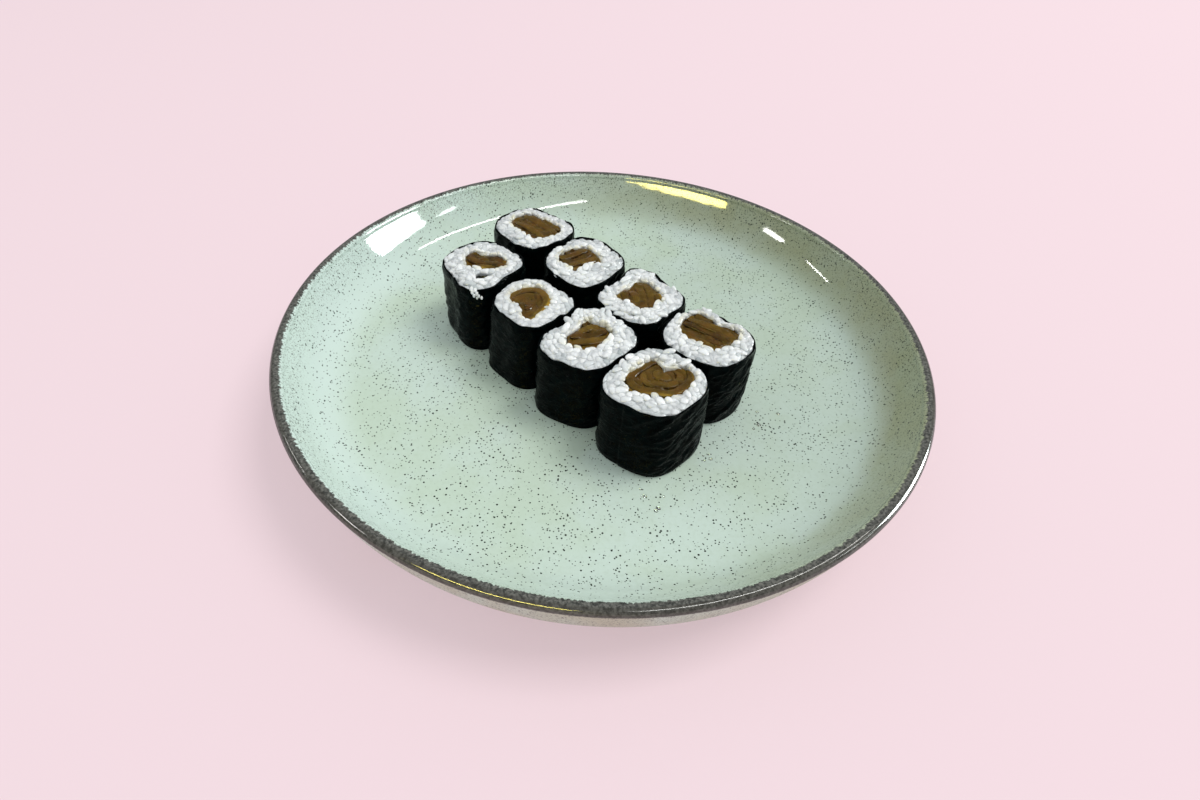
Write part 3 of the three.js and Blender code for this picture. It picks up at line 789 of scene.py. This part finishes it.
def rice(name, roll, seed):
    """The rice of one roll: its core and the grains of its cut face, pressed flat by the knife and held
    in by the sheet."""
    piece = Piece(f"rice_grains_{name}")
    rice_core(piece, roll, seed)
    draw = np.random.default_rng(seed + 700)
    number = np.arange(GRAINS_A_ROLL)
    angle = (number * GOLDEN_TURN + seed) % (2 * np.pi)
    share = ((number * PLASTIC_SHARE) % 1) ** 1.15 + draw.normal(0, 0.02, len(number))
    share = np.clip(share, 0.02, 0.97)
    x, y, z = ring_place(roll, angle, share)
    clear = pit_share(roll, x, y) < 0.25
    proud = draw.uniform(*LIE["proud"], len(number)) - 0.3 * smooth_step(share, 0.35, 0.05)
    proud += 0.35 * smooth_step(share, 0.7, 0.95)
    places = beside(x, y, z - LIE["sunk"] + proud)[clear]
    count = len(places)
    yaw = angle[clear] + np.pi / 2 + draw.normal(0, LIE["turn"], count)
    spread = LIE["tilt"] + LIE["more_tilt"] * smooth_step(share[clear], 0.4, 0.95)
    tilt = draw.normal(0, spread, count)
    scale = beside(*(draw.uniform(*sizes, count) for sizes in GRAIN_SIZES.values()))
    # Painted shade: grains are greyer towards the sheet; the rest of their shade is random tone.
    shade = 0.36 + 0.58 * smooth_step(share[clear], 0.05, 0.55) + draw.normal(0, 0.22, count)
    shade = np.clip(shade, 0, 1)
    middle = roll["filling"]["at"]

    def keep(points):
        """Draws points back inside the sheet, out of the filling and under the knife's plane."""
        px, py, pz = np.moveaxis(points, -1, 0)
        turn = np.arctan2(py, px)
        reach = np.hypot(px, py)
        limit = rice_edge(roll, turn)
        held = np.minimum(reach, limit + KEPT["sheet"] * (reach - limit))
        px, py = around((0, 0), held, turn)
        for pit_x, pit_y, pit_reach in roll["pits"]:
            away = np.hypot(px - pit_x, py - pit_y) + 1e-6
            push = np.maximum(away, pit_reach - KEPT["pit"] * (pit_reach - away)) / away
            px, py = pit_x + (px - pit_x) * push, pit_y + (py - pit_y) * push
        inner_turn = np.arctan2(py - middle[1], px - middle[0])
        inner_reach = np.hypot(px - middle[0], py - middle[1])
        least = outline_radius(roll["filling"], inner_turn) - 0.35
        pushed = np.maximum(inner_reach, least - KEPT["filling"] * (least - inner_reach))
        px, py = around(middle, pushed, inner_turn)
        gap = -filling_depth(roll["filling"], px, py)
        uneven = KNIFE["depth"] * waves(level(px, py), KNIFE["size"], seed + 31)
        plane = KNIFE["height"] + heap_rise(roll, turn) + uneven
        plane += 0.45 * smooth_step(gap, 3, 0.6) - 0.45 * smooth_step(held - limit, -1.8, -0.2)
        pz = np.where(pz > plane, plane + KNIFE["give"] * (pz - plane), pz)
        points = beside(px + roll["at"][0], py + roll["at"][1], pz + REST_HEIGHT)
        return points, smooth_step(gap, RICE_TONE["stained"], 0)

    add_grains(piece, places, yaw, tilt, scale, shade, keep)
    add_loose(piece, roll, draw)
    if name == SCRAP_ROLL:
        add_scrap(piece, roll)
    return piece


def add_loose(piece, roll, draw):
    """Grains that lie loose on the rice's cut face, most of them on one side."""
    towards, width, count, nearest, farthest = roll["loose"]
    angle = np.radians(draw.normal(towards, width, count))
    x, y, z = ring_place(roll, angle, draw.uniform(nearest, farthest, count))
    places = beside(x, y, z + draw.uniform(0, 0.6, count)) + (*roll["at"], REST_HEIGHT)
    yaw = angle + np.pi / 2 + draw.normal(0, 0.7, count)
    scale = draw.uniform(0.6, 0.95, count)[:, None]
    tone = draw.uniform(0.55, 1, count)
    add_grains(piece, places, yaw, draw.normal(0, 0.25, count), scale, tone)


def add_scrap(piece, roll):
    """The broken grains that hang over the sheet at one corner."""
    towards, out, height, lean = np.array(SCRAP, float).T
    angle = np.radians(towards)
    x, y = around(roll["at"], outline_radius(roll, angle) + out, angle)
    places = beside(x, y, height + REST_HEIGHT)
    scale = np.array(SCRAP_SIZE) * np.linspace(*SCRAP_FACTOR, len(SCRAP))[:, None]
    tone = np.full(len(SCRAP), 0.8)
    add_grains(piece, places, angle, -np.radians(lean), scale, tone)


def filling_depth(filling, x, y):
    """How far a place is inside the filling's outline, less than nothing outside it."""
    away_x, away_y = x - filling["at"][0], y - filling["at"][1]
    return outline_radius(filling, np.arctan2(away_y, away_x)) - np.hypot(away_x, away_y)


def gourd_body(piece, roll, seed):
    """The bundle's body: rings of its outline go up the side and shrink to the middle of its top."""
    filling = roll["filling"]
    angle = spaced_turn(120)
    share = np.linspace(0, 0.96, 24)[:, None]
    x, y = around(filling["at"], (outline_radius(filling, angle) - 0.1) * (1 - share), angle)
    z = BUNDLE["top"] - 0.5 * smooth_step(share, 0.1, 0) + 0.22 * waves(level(x, y), 3.5, seed + 3)
    top = beside(x, y, z)
    sides = np.repeat(top[:1], 8, axis=0)
    sides[..., 2] = np.linspace(0, BUNDLE["side"], 8)[:, None]
    base = np.array([*roll["at"], REST_HEIGHT])
    ends = np.array([(*filling["at"], 0), (*filling["at"], BUNDLE["top"])])
    # Painted shade: the body is darker down its sides than on its top.
    tones = 0.42 + 0.2 * smooth_step(share, 0.3, 0) + 0 * angle
    shade = np.concatenate([np.full(sides[..., 0].size, 0.3), tones.ravel(), [0.3, 0.4]])
    piece.add_capped(np.concatenate([sides, top]) + base, ends + base, shade)


def longest_run(line, filling):
    """The longest stretch of a line that stays well inside the filling's outline."""
    inside = filling_depth(filling, line[:, 0], line[:, 1]) > 0.3 * STRIP["thick"]
    changes = np.diff(np.concatenate([[0], inside, [0]]))
    starts, ends = np.flatnonzero(changes == 1), np.flatnonzero(changes == -1)
    if len(starts) == 0:
        return line[:0]
    best = np.argmax(ends - starts)
    return line[starts[best]:ends[best]]


def parallel_paths(filling, draw):
    """The middle lines of strips that lie side by side: lines in the direction of the folds, one strip
    apart, curved by bend and spread by fan."""
    towards, bend, fan = filling["folds"]
    fold = math.radians(towards)
    along = np.array([math.cos(fold), math.sin(fold)])
    across = np.array([-along[1], along[0]])
    half = filling["size"] * 1.35
    share = np.linspace(-1, 1, 90)
    for offset in np.arange(-half, half, STRIP["thick"]) + 0.5 * STRIP["thick"]:
        sway = bend * filling["size"] * 0.5 * (share**2 - 0.3) + fan * offset * share
        sway += 0.28 * np.sin(share * draw.uniform(3, 6) + draw.uniform(0, 2 * np.pi))
        yield share[:, None] * half * along + (offset + sway)[:, None] * across + np.array(filling["at"])


def nested_paths(filling, draw):
    """The middle lines of strips folded round a point: copies of the filling's outline, open towards the
    notch and each drawn in towards the point by one strip more."""
    focus = np.array(filling["at"]) + np.array(filling["folds"])
    opening = math.radians(filling["notch"][1])
    angle = np.linspace(opening + 0.35, opening + 2 * np.pi - 0.35, 120)
    edge = beside(*around(filling["at"], outline_radius(filling, angle), angle))
    count = int(round(filling["size"] / STRIP["thick"]))
    for index in range(count):
        share = (index + 0.55) / count * (1 + 0.03 * np.sin(3 * angle + draw.uniform(0, 2 * np.pi)))
        yield focus + (edge - focus) * share[:, None]


def add_strip(piece, filling, path, height, thick, base, shade):
    """The cut edge of one strip: a low rounded section with fine grooves along it, carried along the path
    and narrowed at its ends. Its sides go down into the bundle's body."""
    steps = np.linspace(0, 1, 44)
    spread = np.linspace(0, 1, len(path))
    line = beside(*(np.interp(steps, spread, path[:, i]) for i in (0, 1)))
    ahead = np.gradient(line, axis=0)
    ahead /= np.linalg.norm(ahead, axis=1, keepdims=True)
    side = beside(-ahead[:, 1], ahead[:, 0])
    across = np.linspace(-1, 1, 19)
    narrow = np.sqrt(np.clip(1 - np.abs(2 * steps - 1) ** 6, 0.02, 1))[:, None]
    groove = np.sin(2 * np.pi * (across * 2.5 + 0.35 * np.sin(5 * steps + 9 * shade)[:, None]))
    rise = STRIP["crown"] * np.sqrt(1 - 0.98 * across**4) * (0.4 + 0.6 * narrow) + STRIP["groove"] * groove
    wobble = 0.24 * np.sin(steps * 7 + 5 * shade)[:, None]
    wobble = wobble - 0.2 * across * np.sin(steps * 4 + 9 * shade)[:, None]
    points = np.empty((len(steps), len(across), 3))
    points[..., :2] = line[:, None, :] + (thick / 2 * across * narrow)[..., None] * side[:, None, :]
    points[..., 2] = height + rise + wobble
    low = points[:, [-1, 0]]
    low[..., 2] = height - STRIP["down"]
    ring = np.concatenate([low[:, 1:], points, low[:, :1]], axis=1)
    rim = 0.34 * smooth_step(filling_depth(filling, points[..., 0], points[..., 1]), 1.2, 0)
    # Painted shade: a strip is darker at its edges and in its fine grooves, and its sides that go down
    # between strips are dark.
    top = 0.46 + 0.3 * (shade - 0.5) + 0.04 * groove - 0.24 * np.abs(across) ** 7 + rim
    tones = np.pad(top, ((0, 0), (1, 1)), constant_values=0.12)
    ends = ring[[0, -1]].mean(axis=1)
    piece.add_capped(ring + base, ends + base, np.concatenate([tones.ravel(), [0.2, 0.2]]))


def gourd(name, roll, seed):
    """The bundle of gourd strips of one roll: its body, and the strips' cut edges on its top, each as far
    as it lies in the filling's outline. Very short ones are left out."""
    piece = Piece(f"gourd_strips_{name}")
    gourd_body(piece, roll, seed)
    draw = np.random.default_rng(seed + 300)
    base = np.array([*roll["at"], REST_HEIGHT])
    filling = roll["filling"]
    family = nested_paths if len(filling["folds"]) == 2 else parallel_paths
    runs = [longest_run(line, filling) for line in family(filling, draw)]
    for path in (run for run in runs if len(run) > STRIP["shortest"]):
        height = STRIP["height"] + draw.uniform(-0.35, 0.35)
        thick = STRIP["thick"] * draw.uniform(0.95, 1.25)
        add_strip(piece, filling, path, height, thick, base, draw.uniform(0.1, 0.9))
    return piece


def droplets():
    """Small domes of water on the floor of the plate: spherical caps, wider than they are high."""
    piece = Piece("water_droplets")
    draw = np.random.default_rng(77)
    turn = spaced_turn(16)
    rise = np.array([0, 0.35, 0.7, 0.92])[:, None]
    ring = np.sqrt(1 - rise**2)
    high = DROPLET["height"]
    cap = beside(ring * np.cos(turn), ring * np.sin(turn), high * rise)
    cap = np.concatenate([cap.reshape(-1, 3), [(0, 0, 0), (0, 0, high)]])
    for x, y, reach, count in DROPLETS:
        radius = draw.uniform(*DROPLET["radius"], (count, 1, 1))
        middle = np.zeros((count, 1, 3))
        middle[..., :2] = np.array([x, y]) + draw.normal(0, reach, (count, 1, 2))
        middle[..., 2] = FLOOR["z"] + 0.02
        piece.add(middle + radius * cap, capped_faces(len(rise), len(turn)))
    return piece


def studio():
    """The pale floor, the soft lights, and a room that seems darker in reflections."""
    mesh = bpy.data.meshes.new("studio_floor")
    corners = np.array([(-1, -1, 0), (1, -1, 0), (1, 1, 0), (-1, 1, 0)]) * STUDIO_FLOOR["reach"]
    mesh.from_pydata(corners.tolist(), [], [(0, 1, 2, 3)])
    floor = placed("studio_floor", mesh)
    paper = Finish("floor_paper")
    paper.set(Base_Color="paper", Roughness=0.9, Specular_IOR_Level=0)
    paper.set(Emission_Color="paper_glow", Emission_Strength=STUDIO_FLOOR["glow"])
    mesh.materials.append(paper.material)
    for name, (purpose, azimuth, elevation, distance, size, power, tint) in LIGHTS.items():
        light = bpy.data.lights.new(name, "AREA")
        light.shape = "RECTANGLE"
        light.size, light.size_y = size
        light.energy = power
        light.color = tint
        lamp = placed(name, light)
        side, rise = math.radians(azimuth), math.radians(elevation)
        towards = Vector((math.sin(side) * math.cos(rise), math.cos(side) * math.cos(rise), math.sin(rise)))
        lamp.visible_glossy = purpose == "streak"
        lamp.visible_diffuse = purpose == "soft"
        lamp.location = towards * distance
        lamp.rotation_mode = "QUATERNION"
        lamp.rotation_quaternion = (-towards).to_track_quat("-Z", "Y")
    world = bpy.data.worlds.new("soft_room")
    world.use_nodes = True
    tree = world.node_tree
    sky = tree.nodes["Background"]
    sky.inputs["Color"].default_value = (*WORLD["tint"], 1)
    mirrored = tree.nodes.new("ShaderNodeLightPath").outputs["Is Glossy Ray"]
    strength = tree.nodes.new("ShaderNodeMapRange")
    strength.inputs["To Min"].default_value = WORLD["strength"]
    strength.inputs["To Max"].default_value = WORLD["mirrored"]
    tree.links.new(mirrored, strength.inputs["Value"])
    tree.links.new(strength.outputs["Result"], sky.inputs["Strength"])
    scene.world = world
    scene.view_settings.view_transform = "Standard"


def camera():
    """The camera, turned by its axes: it looks down, and right leans by the roll."""
    down, roll = math.radians(CAMERA["down"]), math.radians(CAMERA["roll"])
    ahead = Vector((0, math.cos(down), -math.sin(down)))
    up = Vector((0, math.sin(down), math.cos(down)))
    right = math.cos(roll) * Vector((1, 0, 0)) + math.sin(roll) * up
    up = math.cos(roll) * up - math.sin(roll) * Vector((1, 0, 0))
    lens = bpy.data.cameras.new("camera")
    lens.sensor_width = SENSOR_WIDTH
    lens.lens = CAMERA["focal_px"] * SENSOR_WIDTH / PHOTO_WIDTH
    lens.clip_start = 0.01
    view = placed("camera", lens)
    place = Vector(CAMERA["at"]) * MM
    view.matrix_world = Matrix.Translation(place) @ Matrix((right, up, -ahead)).transposed().to_4x4()
    scene.camera = view


def build():
    glaze, sheet, grains, strips = glaze_finish(), nori_finish(), rice_finish(), gourd_finish()
    plate().make(glaze, "glaze", "plate")
    for index, (name, roll) in enumerate(ROLLS.items()):
        seed = 11 * (index + 1)
        nori(name, roll, seed).make(sheet, "nori", f"nori_{name}")
        rice(name, roll, seed).make(grains, "rice", f"rice_{name}")
        gourd(name, roll, seed).make(strips, "gourd", f"filling_{name}")
    droplets().make(water_finish(), "glaze", None)


camera()
studio()
build()
